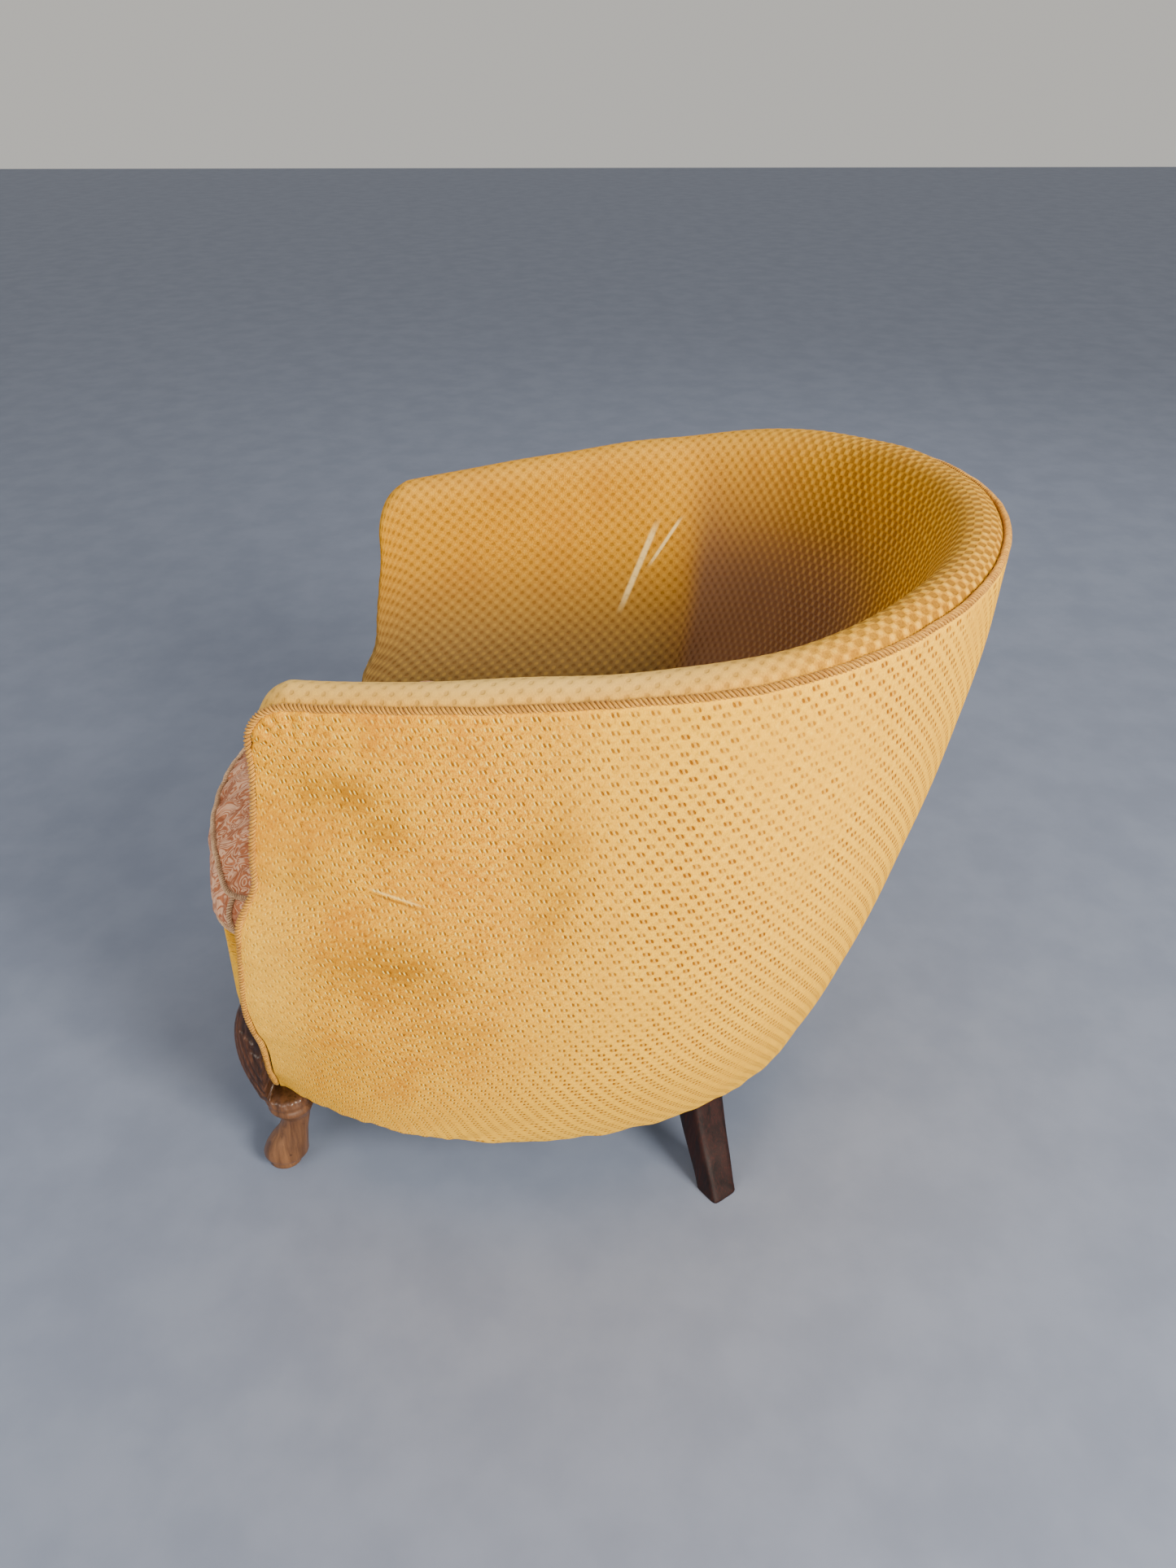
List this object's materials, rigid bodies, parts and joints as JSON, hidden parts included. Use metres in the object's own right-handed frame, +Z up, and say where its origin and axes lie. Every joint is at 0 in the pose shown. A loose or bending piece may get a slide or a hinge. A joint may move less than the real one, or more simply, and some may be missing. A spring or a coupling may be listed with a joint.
{
  "type": "upholstered armchair",
  "caption": "Horseshoe tub armchair covered in patterned velour, with corded seams, a loose bow-fronted velvet cushion, carved front legs and sabre rear legs.",
  "frame": {"origin": "on the floor under the middle of the chair's bounding box", "axes": "+Z up, -Y towards the sitter's feet (the chair's front), +X towards the sitter's left arm"},
  "size_m": [0.7156, 0.8431, 0.736],
  "materials": {
    "beech": "matte",
    "steel": "satin",
    "walnut": "satin",
    "mahogany": "satin",
    "jute": "matte",
    "stuffing": "matte",
    "velour": "matte",
    "trim_cord": "matte",
    "cambric": "matte",
    "velvet": "matte",
    "cushion_cord": "matte"
  },
  "bodies": {
    "chair": {"seat_rail_front": "beech", "seat_rail_rear": "beech", "back_top_rail": "beech", "stay_rail_rear": "beech", "seat_rail_right": "beech", "seat_rail_left": "beech", "front_post_right": "beech", "front_post_left": "beech", "back_post_right": "beech", "back_post_left": "beech", "arm_rail_right": "beech", "arm_rail_left": "beech", "stay_rail_right": "beech", "stay_rail_left": "beech", "corner_block_front_right": "beech", "corner_block_front_left": "beech", "corner_block_rear_right": "beech", "corner_block_rear_left": "beech", "leg_screw_front_right": "steel", "leg_screw_front_left": "steel", "leg_screw_rear_right": "steel", "leg_screw_rear_left": "steel", "seat_spring_1": "steel", "seat_spring_2": "steel", "seat_spring_3": "steel", "seat_spring_4": "steel", "seat_spring_5": "steel", "seat_spring_6": "steel", "seat_spring_7": "steel", "seat_spring_8": "steel", "seat_spring_9": "steel", "leg_front_right": "walnut", "leg_front_left": "walnut", "leg_rear_right": "mahogany", "leg_rear_left": "mahogany", "web_across_1": "jute", "web_across_2": "jute", "web_across_3": "jute", "web_along_1": "jute", "web_along_2": "jute", "web_along_3": "jute", "spring_canvas": "jute", "tub_hessian": "jute", "seat_stuffing": "stuffing", "tub_padding": "stuffing", "outside_cover": "velour", "inside_cover": "velour", "front_apron": "velour", "seat_deck_cover": "velour", "arm_front_cover_right": "velour", "arm_front_cover_left": "velour", "rim_cord": "trim_cord", "dust_cover": "cambric"},
    "seat_cushion": {"cushion_top_panel": "velvet", "cushion_bottom_panel": "velvet", "cushion_border": "velvet", "cushion_cord_top": "cushion_cord", "cushion_cord_bottom": "cushion_cord", "cushion_filling": "stuffing"}
  },
  "joints": [
    {"name": "cushion_lift", "type": "slide", "parent": "chair", "child": "seat_cushion", "axis": [0, 0, 1], "range_m": [0, 0.4]}
  ]
}
